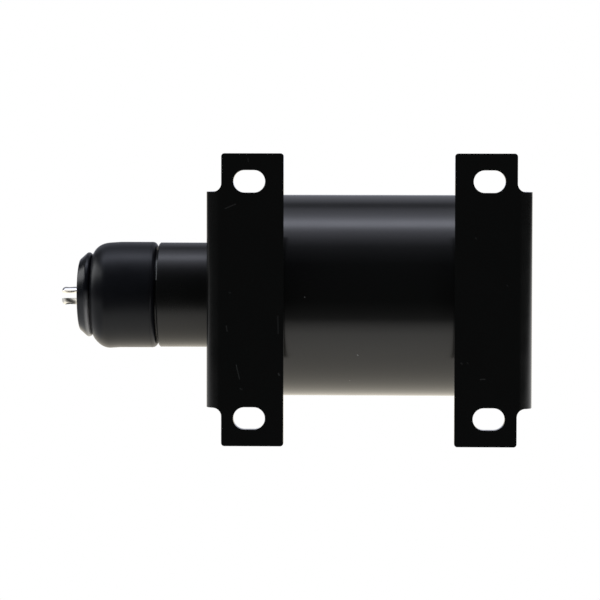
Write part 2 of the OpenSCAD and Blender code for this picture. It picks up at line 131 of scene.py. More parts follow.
def add(tree, kind, inputs=None, links=None, **settings):
    """Adds a node, sets its options and the values of its sockets, and links sockets to others."""
    made = tree.nodes.new(kind)
    for key, value in settings.items():
        setattr(made, key, value)
    for key, value in (inputs or {}).items():
        made.inputs[key].default_value = value
    for key, source in (links or {}).items():
        tree.links.new(source, made.inputs[key])
    return made


def new_finish(name):
    """A fresh material: its tree, its shader and its Object coordinates."""
    material = bpy.data.materials.new(name)
    material.use_nodes = True
    tree = material.node_tree
    shader = tree.nodes["Principled BSDF"]
    place = add(tree, "ShaderNodeTexCoord").outputs["Object"]
    return material, tree, shader, place


def grained(tree, shader, place, size, depth, detail, strength):
    """Gives the surface a raised grain of a given size and depth."""
    grain = add(tree, "ShaderNodeTexNoise", {"Scale": 1 / size, "Detail": detail}, {"Vector": place})
    bump = add(
        tree, "ShaderNodeBump", {"Strength": strength, "Distance": depth}, {"Height": grain.outputs["Fac"]},
    )
    tree.links.new(bump.outputs["Normal"], shader.inputs["Normal"])


# Black spray enamel, semi-gloss: it mirrors its surroundings with a slight orange peel of about a
# millimetre, a little uneven gloss and a few pale specks of dust caught in the film.
ENAMEL = "#131414"
# The pale colour of the dust and the rubbed marks, which also paints the nose's highlight
ENAMEL_DUST_AND_HIGHLIGHT = "#8f9294"
ENAMEL_SHEEN = 0.5
ENAMEL_SMOOTH = 0.11
ENAMEL_DULL = 0.16
PEEL_SIZE = 1.3 * MM
PEEL_DEPTH = 0.006 * MM
CLOUD_SIZE = 9 * MM
DUST_CELL = 5.5 * MM
DUST_RADIUS = 0.035
DUST_SHARE = 0.3
DUST_STRENGTH = 0.35
# Nearly all of a noise texture lies between these two values
NOISE_LOW = 0.3
NOISE_HIGH = 0.7


def marked(tree, place, marks, share=None):
    """Adds marks, each from (x0, y0) to (x1, y1) in millimetres with its width and strength, to a share."""
    for x0, y0, x1, y1, width, strength in marks:
        start, end = Vector((x0, y0, 0)) * MM, Vector((x1, y1, 0)) * MM
        along = end - start
        offset = add(tree, "ShaderNodeVectorMath", {1: start}, {0: place}, operation="SUBTRACT")
        flat = add(
            tree, "ShaderNodeVectorMath", {1: (1, 1, 0)}, {0: offset.outputs[0]}, operation="MULTIPLY",
        )
        dot = add(
            tree, "ShaderNodeVectorMath", {1: along / along.length_squared}, {0: flat.outputs[0]},
            operation="DOT_PRODUCT",
        )
        reach = add(tree, "ShaderNodeClamp", None, {"Value": dot.outputs["Value"]})
        foot = add(
            tree, "ShaderNodeVectorMath", {0: along}, {"Scale": reach.outputs[0]}, operation="SCALE",
        )
        gap = add(
            tree, "ShaderNodeVectorMath", None, {0: flat.outputs[0], 1: foot.outputs[0]},
            operation="DISTANCE",
        )
        mark = add(
            tree, "ShaderNodeMapRange",
            {"From Min": 0.0, "From Max": width * MM, "To Min": strength, "To Max": 0.0},
            {"Value": gap.outputs["Value"]}, interpolation_type="SMOOTHSTEP",
        )
        if share is None:
            share = mark.outputs[0]
        else:
            share = add(
                tree, "ShaderNodeMath", None, {0: share, 1: mark.outputs[0]}, operation="MAXIMUM",
            ).outputs[0]
    return share


def black_enamel(name, marks, sheen=ENAMEL_SHEEN, smooth=ENAMEL_SMOOTH, dull=ENAMEL_DULL):
    """Enamel with its dust and pale marks (rubbed marks, and on the nose a painted highlight), of a given
    mirror strength and roughness.
    """
    material, tree, shader, place = new_finish(name)
    cloud = add(tree, "ShaderNodeTexNoise", {"Scale": 1 / CLOUD_SIZE, "Detail": 3.0}, {"Vector": place})
    gloss = add(
        tree, "ShaderNodeMapRange",
        {"From Min": NOISE_LOW, "From Max": NOISE_HIGH, "To Min": smooth, "To Max": dull},
        {"Value": cloud.outputs["Fac"]},
    )
    cells = add(tree, "ShaderNodeTexVoronoi", {"Scale": 1 / DUST_CELL, "Randomness": 1.0}, {"Vector": place})
    near = add(
        tree, "ShaderNodeMath", {1: DUST_RADIUS}, {0: cells.outputs["Distance"]}, operation="LESS_THAN",
    )
    lot = add(tree, "ShaderNodeSeparateColor", None, {"Color": cells.outputs["Color"]})
    rare = add(tree, "ShaderNodeMath", {1: DUST_SHARE}, {0: lot.outputs["Red"]}, operation="LESS_THAN")
    pale = add(
        tree, "ShaderNodeMath", None, {0: near.outputs[0], 1: rare.outputs[0]}, operation="MULTIPLY",
    )
    faint = add(tree, "ShaderNodeMath", {1: DUST_STRENGTH}, {0: pale.outputs[0]}, operation="MULTIPLY")
    total = marked(tree, place, marks, faint.outputs[0])
    colour = add(
        tree, "ShaderNodeMix", {"A": linear(ENAMEL), "B": linear(ENAMEL_DUST_AND_HIGHLIGHT)}, None, data_type="RGBA",
    )
    tree.links.new(total, colour.inputs["Factor"])
    grained(tree, shader, place, PEEL_SIZE, PEEL_DEPTH, detail=1.0, strength=0.6)
    shader.inputs["Specular IOR Level"].default_value = sheen
    tree.links.new(colour.outputs["Result"], shader.inputs["Base Color"])
    tree.links.new(gloss.outputs["Result"], shader.inputs["Roughness"])
    return material


x0, x1 = tube_low.x, tube_high.x
inner = tube_radius - TUBE_WALL
tube_outline = (
    arc(x0 + TUBE_EDGE, tube_radius - TUBE_EDGE, TUBE_EDGE, 180, 90)
    + arc(x1 - TUBE_EDGE, tube_radius - TUBE_EDGE, TUBE_EDGE, 90, 0)
    + [(x1, inner), (x0, inner)]
)
# A pale fleck in the enamel, in millimetres: x0, y0, x1, y1 and width, and then its strength
TUBE_MARKS = [(-2.9, 14.2, -2.8, 14.3, 0.28, 0.6)]
tube_enamel = black_enamel("black enamel on the tube", TUBE_MARKS)
housing = piece_from(turned(tube_outline, TUBE_STEPS), "housing_tube_enamelled", tube_enamel)
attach(housing, "housing")
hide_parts("housing_tube")


# Front and rear brackets
# Each is one piece of 2.3 mm steel sheet, blanked with its slots and reliefs and bent once. The enamel
# draws back from the cut edges, which the tumbled blank has slightly rounded.
BRACKET_EDGE = 0.28 * MM
FLAT_ANGLE = math.radians(0.3)
EDGE_ANGLE = math.radians(40)
# Rubbed marks on the feet, in millimetres: x0, y0, x1, y1 and width, and then the strength
FRONT_MARKS = [
    (-30.3, -35.4, -30.2, -34.6, 0.25, 0.05),
    (-36.0, -22.9, -33.4, -24.0, 0.20, 0.09),
    (-35.0, -1.9, -34.7, -1.8, 0.30, 0.05),
    (-35.7, 6.5, -35.5, 7.8, 0.25, 0.08),
    (-33.2, 16.3, -32.4, 19.8, 0.20, 0.12),
    (-32.2, 22.2, -31.8, 22.4, 0.30, 0.06),
    (-22.8, 4.0, -22.7, 8.3, 0.30, 0.05),
    (-22.6, 18.4, -22.4, 18.8, 0.35, 0.12),
]
REAR_MARKS = [
    (26.5, -15.7, 26.7, -15.5, 0.30, 0.05),
    (34.4, -3.9, 34.6, -3.7, 0.25, 0.04),
    (23.1, 15.6, 23.3, 15.8, 0.30, 0.07),
    (24.6, 15.5, 24.8, 15.7, 0.25, 0.05),
    (27.9, 19.7, 29.0, 19.6, 0.25, 0.09),
]


def rounded_copy(node, width, segments=2):
    """A bmesh of a CAD node with its flat faces joined and its sharp edges rounded."""
    shape = bmesh.new()
    shape.from_mesh(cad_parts[node].data)
    bmesh.ops.remove_doubles(shape, verts=shape.verts, dist=MERGE_DISTANCE)
    bmesh.ops.dissolve_limit(
        shape, angle_limit=FLAT_ANGLE, verts=shape.verts, edges=shape.edges, use_dissolve_boundaries=False,
    )
    sharp = [e for e in shape.edges if e.is_manifold and e.calc_face_angle() > EDGE_ANGLE]
    bmesh.ops.bevel(
        shape, geom=sharp, offset=width, offset_type="OFFSET", segments=segments, profile=0.5,
        affect="EDGES", clamp_overlap=True, material=-1,
    )
    return shape


for end_name, marks in (("front", FRONT_MARKS), ("rear", REAR_MARKS)):
    node = end_name + "_bracket"
    bracket_enamel = black_enamel("black enamel on the " + node, marks)
    bracket = piece_from(rounded_copy(node, BRACKET_EDGE), node + "_enamelled", bracket_enamel)
    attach(bracket, "housing")
    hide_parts(node)


# Nose
# A turned steel nose, staked into the front end plate, with the guide tube inside it and the boot on
# its front. Its shoulder is chamfered, and a fine bright line is painted along the chamfer as a
# highlight.
NOSE_STEPS = 192
NOSE_LIP_RADIUS = 3.3 * MM
NOSE_CHAMFER = 0.35 * MM
NOSE_BORE_RADIUS = 10.28 * MM
NOSE_STEM_RADIUS = 11.88 * MM
NOSE_LIP_LENGTH = 2 * MM
NOSE_GAP = 0.5 * MM
NOSE_SHEEN = 0.38
NOSE_SMOOTH = 0.23
NOSE_DULL = 0.28
SPIGOT_RADIUS = 11.58 * MM
nose_low, nose_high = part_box("nose_tube")
nose_radius = (nose_high.y - nose_low.y) / 2
boot_low, boot_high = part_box("boot")
shoulder_x = boot_high.x + NOSE_GAP
bracket_face_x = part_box("front_bracket")[0].x
front_x = nose_low.x
lip_x = front_x + NOSE_LIP_LENGTH
nose_outline = [
    (nose_high.x, NOSE_BORE_RADIUS), (nose_high.x, NOSE_STEM_RADIUS), (bracket_face_x, NOSE_STEM_RADIUS),
    (bracket_face_x, nose_radius), (shoulder_x + NOSE_CHAMFER, nose_radius),
    (shoulder_x, nose_radius - NOSE_CHAMFER), (shoulder_x, SPIGOT_RADIUS),
    (front_x + NOSE_CHAMFER, SPIGOT_RADIUS), (front_x, SPIGOT_RADIUS - NOSE_CHAMFER),
    (front_x, NOSE_LIP_RADIUS), (lip_x, NOSE_LIP_RADIUS), (lip_x, NOSE_BORE_RADIUS),
]
# The painted highlight along the shoulder's chamfer, in millimetres: x0, y0, x1, y1 and width, and then its
# strength
NOSE_PAINTED_HIGHLIGHT = [(-54.9, -9.2, -54.9, -4.4, 0.3, 1.0)]
nose_enamel = black_enamel("black enamel on the nose", NOSE_PAINTED_HIGHLIGHT, NOSE_SHEEN, NOSE_SMOOTH, NOSE_DULL)
nose = piece_from(turned(nose_outline, NOSE_STEPS), "nose_enamelled", nose_enamel)
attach(nose, "housing")
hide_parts("nose_tube")


# Boot
# A moulded rubber boot that keeps dirt off the plunger. Its skirt snaps over the nose, its shoulder
# folds inwards as the plunger is pulled in, and its thick front ring grips the rod's groove.
BOOT_STEPS = 192
RING_STEPS = 8
SHOULDER_STEPS = 24
INNER_STEPS = 16
SKIRT_STEPS = 10
RIM_STEPS = 6
BOOT_WALL = 1.5 * MM
BOOT_SHOULDER = 5 * MM
BOOT_FRONT_RADIUS = 10.0 * MM
BOOT_RING_RADIUS = 11.8 * MM
BOOT_RING_LENGTH = 2.95 * MM
BOOT_RING_EDGE = 0.95 * MM
BOOT_RING_BACK_EDGE = 0.84 * MM
BOOT_NECK_RADIUS = 10.0 * MM
BOOT_FLANK = 0.35 * MM
BOOT_RIM_EDGE = 1.3 * MM
BOOT_COLLAR_LENGTH = 3.5 * MM
BOOT_COLLAR_WALL = 1.7 * MM
BOOT_SEAT_GAP = 0.3 * MM
INNER_ARC_END = 165
INNER_CORNER_DEPTH = 1.2 * MM
INNER_CORNER_DROP = 0.8 * MM
ROD_RADIUS = 2.31 * MM
ROD_LEAN = 0.35 * MM
ROD_CLEARANCE = 0.05 * MM
RUBBER = "#101114"
RUBBER_BLOOM = "#181a1f"
RUBBER_GRAIN = 0.35 * MM
RUBBER_GRAIN_DEPTH = 0.006 * MM
BLOOM_SIZE = 6 * MM
RUBBER_SHEEN = 0.225
RUBBER_SMOOTH = 0.29
RUBBER_DULL = 0.36
RING_SMOOTHNESS = 0.68
RUBBER_TINT = "#f8fbff"

boot_radius = (boot_high.y - boot_low.y) / 2
ring_back_x = boot_low.x + BOOT_RING_LENGTH
valley_x = ring_back_x + BOOT_FLANK
core_radius = boot_radius - BOOT_SHOULDER
neck_rise = BOOT_NECK_RADIUS - core_radius
round_x = valley_x + math.sqrt(BOOT_SHOULDER ** 2 - neck_rise ** 2)
inner_shoulder = BOOT_SHOULDER - BOOT_WALL
inner_radius = boot_radius - BOOT_WALL
neck_inner = BOOT_NECK_RADIUS - BOOT_WALL
seat_x = front_x + BOOT_SEAT_GAP
seat_radius = SPIGOT_RADIUS + ROD_CLEARANCE
hole_radius = ROD_RADIUS + ROD_CLEARANCE
collar_radius = hole_radius + BOOT_COLLAR_WALL
neck_angle = math.degrees(math.acos(neck_rise / BOOT_SHOULDER))
rim_x = boot_high.x

# Slopes of the ring's widening face and of the flank behind it, in radians
widening = math.atan2(BOOT_RING_RADIUS - BOOT_FRONT_RADIUS, BOOT_RING_LENGTH - BOOT_RING_EDGE)
falling = math.atan2(BOOT_RING_RADIUS - BOOT_NECK_RADIUS, BOOT_FLANK)


def rounded_corner(x, r, radius, first, second):
    """An arc that touches both lines which meet at (x, r), given by the angles of their outward normals."""
    a, b = Vector((math.cos(first), math.sin(first))), Vector((math.cos(second), math.sin(second)))
    centre = Vector((x, r)) - radius / (1 + a.dot(b)) * (a + b)
    return arc(centre.x, centre.y, radius, math.degrees(first), math.degrees(second), RING_STEPS)


front_corner_radius = BOOT_FRONT_RADIUS - BOOT_RING_EDGE * math.tan(widening)
cone_normal = math.pi / 2 + widening
flank_normal = math.pi / 2 - falling
boot_outline = (
    [(boot_low.x, hole_radius)]
    + rounded_corner(boot_low.x, front_corner_radius, BOOT_RING_EDGE, math.pi, cone_normal)
    + rounded_corner(ring_back_x, BOOT_RING_RADIUS, BOOT_RING_BACK_EDGE, cone_normal, flank_normal)
    + arc(round_x, core_radius, BOOT_SHOULDER, 90 + neck_angle, 90, SHOULDER_STEPS)
    + [(round_x + (rim_x - round_x) * i / SKIRT_STEPS, boot_radius) for i in range(1, SKIRT_STEPS)]
    + arc(rim_x - BOOT_RIM_EDGE, boot_radius - BOOT_RIM_EDGE, BOOT_RIM_EDGE, 90, 0, RIM_STEPS)
    + [(rim_x, seat_radius), (seat_x, seat_radius), (seat_x, inner_radius)]
    + arc(round_x, inner_radius - inner_shoulder, inner_shoulder, 90, INNER_ARC_END, INNER_STEPS)
    + [(boot_low.x + BOOT_WALL + INNER_CORNER_DEPTH, neck_inner)]
    + [(boot_low.x + BOOT_WALL, neck_inner - INNER_CORNER_DROP)]
    + [(boot_low.x + BOOT_WALL, collar_radius), (boot_low.x + BOOT_COLLAR_LENGTH, collar_radius)]
    + [(boot_low.x + BOOT_COLLAR_LENGTH, hole_radius)]
)
boot_shape = turned(boot_outline, BOOT_STEPS)
rod_low, rod_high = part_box("plunger_rod")


def rod_lean(x):
    """How far the rod, which leans in its guide's play, is off the axis at a place along X."""
    return ROD_LEAN * max(0, (rod_high.x - x) / (rod_high.x - rod_low.x))


# The collar goes with the rod, and the shoulder has set a little to one side, as soft rubber does
BOOT_LEAN = 0.2 * MM
BOOT_LEAN_START = 9 * MM
lean_from = rim_x - BOOT_LEAN_START
for vert in boot_shape.verts:
    share = (vert.co.x - lean_from) / (valley_x - lean_from)
    if math.hypot(vert.co.y, vert.co.z - axis_height) < collar_radius + MERGE_DISTANCE:
        vert.co.y += rod_lean(vert.co.x)
    elif 0 < share < 1:
        vert.co.y += BOOT_LEAN * math.sin(math.pi * share) ** 2

# A painted highlight: the ring's ridge is painted pale grey, growing towards +Y, where light from that side
# falls
RING_PAINTED_HIGHLIGHT = "#97989b"
RING_HIGHLIGHT_WIDTH = 0.95 * MM
RING_HIGHLIGHT_OFFSET = 0.22 * MM
RING_HIGHLIGHT_FROM = -1.8 * MM
RING_HIGHLIGHT_FULL = 4 * MM
ring_highlight = boot_shape.verts.layers.float.new("ring_highlight")
ridge_x = ring_back_x - RING_HIGHLIGHT_OFFSET
for vert in boot_shape.verts:
    if math.hypot(vert.co.y, vert.co.z - axis_height) > neck_inner:
        near = max(0, 1 - abs(vert.co.x - ridge_x) / RING_HIGHLIGHT_WIDTH)
        side = min(1, max(0, (vert.co.y - RING_HIGHLIGHT_FROM) / (RING_HIGHLIGHT_FULL - RING_HIGHLIGHT_FROM)))
        vert[ring_highlight] = near * side

# Black EPDM rubber, moulded: a dull sheen and a faint bluish bloom. The mould's grain is drawn coarser
# than the real one, so that it shows.
boot_rubber, tree, shader, place = new_finish("moulded EPDM rubber")
grained(tree, shader, place, RUBBER_GRAIN, RUBBER_GRAIN_DEPTH, detail=2.0, strength=0.5)
bloom = add(tree, "ShaderNodeTexNoise", {"Scale": 1 / BLOOM_SIZE, "Detail": 4.0}, {"Vector": place})
clean = add(
    tree, "ShaderNodeMix", {"A": linear(RUBBER), "B": linear(RUBBER_BLOOM)},
    {"Factor": bloom.outputs["Fac"]}, data_type="RGBA",
)
dull = add(
    tree, "ShaderNodeMapRange",
    {"From Min": NOISE_LOW, "From Max": NOISE_HIGH, "To Min": RUBBER_SMOOTH, "To Max": RUBBER_DULL},
    {"Value": bloom.outputs["Fac"]},
)
# The ring's painted highlight, kept in a vertex layer, is mixed into the colour
ring_highlight_share = add(tree, "ShaderNodeAttribute", attribute_name="ring_highlight")
tint = add(
    tree, "ShaderNodeMix", {"B": linear(RING_PAINTED_HIGHLIGHT)},
    {"Factor": ring_highlight_share.outputs["Fac"], "A": clean.outputs["Result"]}, data_type="RGBA",
)
shader.inputs["Specular IOR Level"].default_value = RUBBER_SHEEN
shader.inputs["Specular Tint"].default_value = linear(RUBBER_TINT)
tree.links.new(tint.outputs["Result"], shader.inputs["Base Color"])
length = add(tree, "ShaderNodeSeparateXYZ", None, {0: place})
# The ring is handled and rubbed, so it is smoother than the rest
handled = add(
    tree, "ShaderNodeMapRange",
    {"From Min": ring_back_x, "From Max": valley_x, "To Min": RING_SMOOTHNESS, "To Max": 1.0},
    {"Value": length.outputs["X"]},
)
dull = add(
    tree, "ShaderNodeMath", None, {0: dull.outputs["Result"], 1: handled.outputs["Result"]},
    operation="MULTIPLY",
)
tree.links.new(dull.outputs[0], shader.inputs["Roughness"])

boot = piece_from(boot_shape, "boot_moulded", boot_rubber)
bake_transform(boot)
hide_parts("boot")


# Plunger rod
# A steel rod pressed into the plunger, with a milled fork and a cross hole for the link's pin. It is
# plated bright, and faint turning marks ring it. Its end is turned down in front of the nose.
ROD_EDGE = 0.25 * MM
NICKEL = "#e6e5e1"
NICKEL_SMOOTH = 0.1
NICKEL_DULL = 0.2
ROD_PAINTED_SHADE = "#141211"
ROD_SHADE_ROUGHNESS = 0.45
# Painted shade, dark and dull, beside the hole and along the fork's slot on the lower side, in millimetres:
# x0, y0, x1, y1 and width, and then its strength
ROD_PAINTED_SHADE_MARKS = [
    (-78.9, 1.3, -77.4, 2.1, 1.15, 1.0),
    (-80.3, -0.45, -76.1, -1.05, 0.35, 1.0),
]
TURNING_STEP = 0.22 * MM
TURNING_DEPTH = 0.004 * MM
STAIN_SIZE = 2.5 * MM
# The wave texture runs through this many radians for each unit of its scale
WAVE_RADIANS = 20

# Bright nickel on turned steel: it mirrors clearly, through rings of turning marks that are drawn a
# little coarser than the real ones, so that they show
rod_plating, tree, shader, place = new_finish("bright nickel plating on turned steel")
rings = add(
    tree, "ShaderNodeTexWave", {"Scale": FULL_TURN / TURNING_STEP / WAVE_RADIANS, "Distortion": 0.4},
    {"Vector": place}, wave_type="BANDS", bands_direction="X",
)
stain = add(tree, "ShaderNodeTexNoise", {"Scale": 1 / STAIN_SIZE, "Detail": 3.0}, {"Vector": place})
polish = add(
    tree, "ShaderNodeMapRange",
    {"From Min": NOISE_LOW, "From Max": NOISE_HIGH, "To Min": NICKEL_SMOOTH, "To Max": NICKEL_DULL},
    {"Value": stain.outputs["Fac"]},
)
bump = add(
    tree, "ShaderNodeBump", {"Strength": 0.25, "Distance": TURNING_DEPTH}, {"Height": rings.outputs["Fac"]},
)
rod_shade_share = marked(tree, place, ROD_PAINTED_SHADE_MARKS)
height = add(tree, "ShaderNodeSeparateXYZ", None, {0: place})
below = add(tree, "ShaderNodeMath", {1: axis_height}, {0: height.outputs["Z"]}, operation="LESS_THAN")
painted_shade_below = add(tree, "ShaderNodeMath", None, {0: rod_shade_share, 1: below.outputs[0]}, operation="MULTIPLY")
# The painted shade darkens the plating below the axis, and makes it dull and less metallic
tone = add(
    tree, "ShaderNodeMix", {"A": linear(NICKEL), "B": linear(ROD_PAINTED_SHADE)}, {"Factor": painted_shade_below.outputs[0]},
    data_type="RGBA",
)
bare = add(tree, "ShaderNodeMath", {0: 1.0}, {1: painted_shade_below.outputs[0]}, operation="SUBTRACT")
gloss = add(
    tree, "ShaderNodeMapRange", {"To Max": ROD_SHADE_ROUGHNESS},
    {"Value": painted_shade_below.outputs[0], "To Min": polish.outputs["Result"]},
)
tree.links.new(tone.outputs["Result"], shader.inputs["Base Color"])
tree.links.new(bare.outputs[0], shader.inputs["Metallic"])
tree.links.new(gloss.outputs["Result"], shader.inputs["Roughness"])
tree.links.new(bump.outputs["Normal"], shader.inputs["Normal"])
rod_shape = rounded_copy("plunger_rod", ROD_EDGE)
slimmer = 2 * ROD_RADIUS / (rod_high.y - rod_low.y)
for vert in rod_shape.verts:
    if vert.co.x < front_x:
        vert.co.y *= slimmer
        vert.co.z = axis_height + (vert.co.z - axis_height) * slimmer
    vert.co.y += rod_lean(vert.co.x)
rod = piece_from(rod_shape, "plunger_rod_plated", rod_plating)
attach(rod, "plunger")
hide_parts("plunger_rod")


# Return spring
# A compression spring of plated wire between plunger and pole, with both ends closed. It pushes the
# plunger out when the coil is switched off, and shortens with it.
WIRE = 1.1 * MM
WIRE_SIDES = 12
SPRING_TURNS = 11
TURN_STEPS = 28
CLOSED_STEP = 1.15
ZINC_WIRE = "#b4b7ba"
WIRE_SMOOTH = 0.25
WIRE_DULL = 0.4
DRAWN_MARKS = 0.8 * MM
spring_low, spring_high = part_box("return_spring")
coil_radius = (spring_high.y - spring_low.y) / 2 - WIRE / 2
closed_pitch = WIRE * CLOSED_STEP
open_pitch = (spring_high.x - spring_low.x - WIRE - 2 * closed_pitch) / (SPRING_TURNS - 2)
spring_shape = bmesh.new()
section = bmesh.ops.create_circle(spring_shape, cap_ends=True, segments=WIRE_SIDES, radius=WIRE / 2)["verts"]
bmesh.ops.rotate(spring_shape, verts=section, cent=(0, 0, 0), matrix=Matrix.Rotation(math.pi / 2, 3, "X"))
bmesh.ops.translate(spring_shape, verts=section, vec=(spring_low.x + WIRE / 2, 0, coil_radius))
end_geometry = list(spring_shape.verts) + list(spring_shape.edges) + list(spring_shape.faces)
for turns, pitch in ((1, closed_pitch), (SPRING_TURNS - 2, open_pitch), (1, closed_pitch)):
    swept = bmesh.ops.spin(
        spring_shape, geom=end_geometry, cent=(0, 0, 0), axis=(1, 0, 0), dvec=(pitch / TURN_STEPS, 0, 0),
        angle=FULL_TURN * turns, steps=TURN_STEPS * turns, use_merge=False, use_duplicate=False,
    )
    end_geometry = swept["geom_last"]
bmesh.ops.recalc_face_normals(spring_shape, faces=spring_shape.faces)
bmesh.ops.translate(spring_shape, verts=spring_shape.verts, vec=(0, 0, axis_height))

# Zinc-plated spring wire: bright, with a gloss that varies with the marks of drawing
wire_steel, tree, shader, place = new_finish("zinc-plated spring wire")
shader.inputs["Base Color"].default_value = linear(ZINC_WIRE)
shader.inputs["Metallic"].default_value = 1.0
draw = add(tree, "ShaderNodeTexNoise", {"Scale": 1 / DRAWN_MARKS, "Detail": 3.0}, {"Vector": place})
sheen = add(
    tree, "ShaderNodeMapRange", {"To Min": WIRE_SMOOTH, "To Max": WIRE_DULL},
    {"Value": draw.outputs["Fac"]},
)
tree.links.new(sheen.outputs["Result"], shader.inputs["Roughness"])
spring = piece_from(spring_shape, "return_spring_wound", wire_steel, weighted=False)
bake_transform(spring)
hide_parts("return_spring")


# Plunger, pole and end plates
# Low-carbon steel that carries the magnetic field, turned all over and zinc plated against rust. Only
# the pole's staked tail shows, at the rear bracket, and only the pole has its edges rounded here.
ZINC = "#a8abae"
ZINC_DARK = "#7f8386"
ZINC_PATCH = 4 * MM
TOOL_MARKS = 0.5 * MM
TOOL_MARKS_DEPTH = 0.005 * MM
POLE_EDGE = 0.2 * MM


def mottled(tree, shader, place, size, first, second, detail):
    """Colours the surface between two hex codes, in soft patches, and gives back the patches' share."""
    patches = add(tree, "ShaderNodeTexNoise", {"Scale": 1 / size, "Detail": detail}, {"Vector": place})
    tone = add(
        tree, "ShaderNodeMix", {"A": linear(first), "B": linear(second)}, {"Factor": patches.outputs["Fac"]},
        data_type="RGBA",
    )
    tree.links.new(tone.outputs["Result"], shader.inputs["Base Color"])
    return patches.outputs["Fac"]


# Dull zinc on turned steel: grey with darker clouds, over the unevenness that the tool has left
turned_steel, tree, shader, place = new_finish("zinc plating on turned steel")
grained(tree, shader, place, TOOL_MARKS, TOOL_MARKS_DEPTH, detail=2.0, strength=0.4)
mottled(tree, shader, place, ZINC_PATCH, ZINC, ZINC_DARK, detail=4.0)
shader.inputs["Metallic"].default_value = 1.0
shader.inputs["Roughness"].default_value = 0.34


def refinish(names, material):
    """Gives CAD nodes that keep their shape a new surface."""
    for name in names:
        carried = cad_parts[name]
        carried.data.materials.clear()
        carried.data.materials.append(material)


refinish(["plunger", "front_end_plate", "rear_end_plate"], turned_steel)
pole = piece_from(rounded_copy("pole_core", POLE_EDGE), "pole_core_staked", turned_steel)
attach(pole, "housing")
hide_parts("pole_core")


# Coil
# Enamelled copper wire wound on a moulded nylon bobbin and wrapped in polyester tape. Two flat copper
# leads run from it to the studs.
COPPER = "#a8552c"
COPPER_DARK = "#7d3a1c"
COPPER_DRIFT = 3 * MM
TAPE = "#cdbb78"
TAPE_LAP = "#b9a460"
TAPE_WIDTH = 12 * MM
NYLON = "#dcd8c8"
NYLON_FLOW = "#cfc9b4"
NYLON_DRIFT = 5 * MM

# Copper under clear enamel: a red-brown gloss that is darker where the enamel is thick
copper, tree, shader, place = new_finish("enamelled copper wire")
mottled(tree, shader, place, COPPER_DRIFT, COPPER, COPPER_DARK, detail=3.0)
shader.inputs["Metallic"].default_value = 0.85
shader.inputs["Roughness"].default_value = 0.28
refinish(["coil_winding", "coil_lead_1", "coil_lead_2"], copper)

# Polyester tape: smooth and yellow, a shade darker where it overlaps
tape, tree, shader, place = new_finish("polyester tape")
laps = add(
    tree, "ShaderNodeTexWave", {"Scale": FULL_TURN / TAPE_WIDTH / WAVE_RADIANS, "Distortion": 0.2},
    {"Vector": place}, wave_type="BANDS", bands_direction="X", wave_profile="SAW",
)
tone = add(
    tree, "ShaderNodeMix", {"A": linear(TAPE), "B": linear(TAPE_LAP)}, {"Factor": laps.outputs["Fac"]},
    data_type="RGBA",
)
shader.inputs["Roughness"].default_value = 0.3
tree.links.new(tone.outputs["Result"], shader.inputs["Base Color"])
refinish(["coil_wrap"], tape)

# Natural nylon, moulded: milky white, and light passes a millimetre into it
nylon, tree, shader, place = new_finish("moulded natural nylon")
mottled(tree, shader, place, NYLON_DRIFT, NYLON, NYLON_FLOW, detail=2.0)
shader.inputs["Roughness"].default_value = 0.45
shader.inputs["Subsurface Weight"].default_value = 0.1
shader.inputs["Subsurface Radius"].default_value = (MM, MM, MM)
refinish(["bobbin"], nylon)


# Guide tube, shim and stop washer
# A drawn brass tube in which the plunger slides, a brass washer that keeps it off the pole, and a
# rubber washer on which it comes to rest at the front.
BRASS = "#d8b765"
BRASS_TARNISH = "#b8924a"
TARNISH_SIZE = 4 * MM
CUT_RUBBER = "#232326"
CRUMB_SIZE = 0.4 * MM
CRUMB_DEPTH = 0.02 * MM

# Drawn brass: smooth and yellow, with browner patches of tarnish
brass, tree, shader, place = new_finish("drawn brass")
mottled(tree, shader, place, TARNISH_SIZE, BRASS, BRASS_TARNISH, detail=4.0)
shader.inputs["Metallic"].default_value = 1.0
shader.inputs["Roughness"].default_value = 0.25
refinish(["guide_tube", "pole_shim"], brass)

# Rubber sheet, punched out: dull and crumbly at its cut edges
bumper_rubber, tree, shader, place = new_finish("cut rubber sheet")
grained(tree, shader, place, CRUMB_SIZE, CRUMB_DEPTH, detail=3.0, strength=0.5)
shader.inputs["Base Color"].default_value = linear(CUT_RUBBER)
shader.inputs["Roughness"].default_value = 0.7
refinish(["nose_bumper"], bumper_rubber)


# Terminal block
# A moulded phenolic saddle on the top of the housing, with a barrier between its two studs. Its bosses
# reach through the tube and keep the studs off the steel.
BLOCK_EDGE = 0.4 * MM
BLOCK_EDGE_SEGMENTS = 3
PHENOLIC = "#161617"
PHENOLIC_FLOW = "#1f1f20"
FLOW_SIZE = 7 * MM
FILLER_GRAIN = 0.3 * MM
FILLER_DEPTH = 0.008 * MM

# Black phenolic, moulded: half dull, with the grain of its filler and faint flow marks
phenolic, tree, shader, place = new_finish("moulded black phenolic")
grained(tree, shader, place, FILLER_GRAIN, FILLER_DEPTH, detail=3.0, strength=0.4)
mottled(tree, shader, place, FLOW_SIZE, PHENOLIC, PHENOLIC_FLOW, detail=3.0)
shader.inputs["Roughness"].default_value = 0.42
block_shape = rounded_copy("terminal_block", BLOCK_EDGE, BLOCK_EDGE_SEGMENTS)
block = piece_from(block_shape, "terminal_block_moulded", phenolic)
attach(block, "housing")
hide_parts("terminal_block")


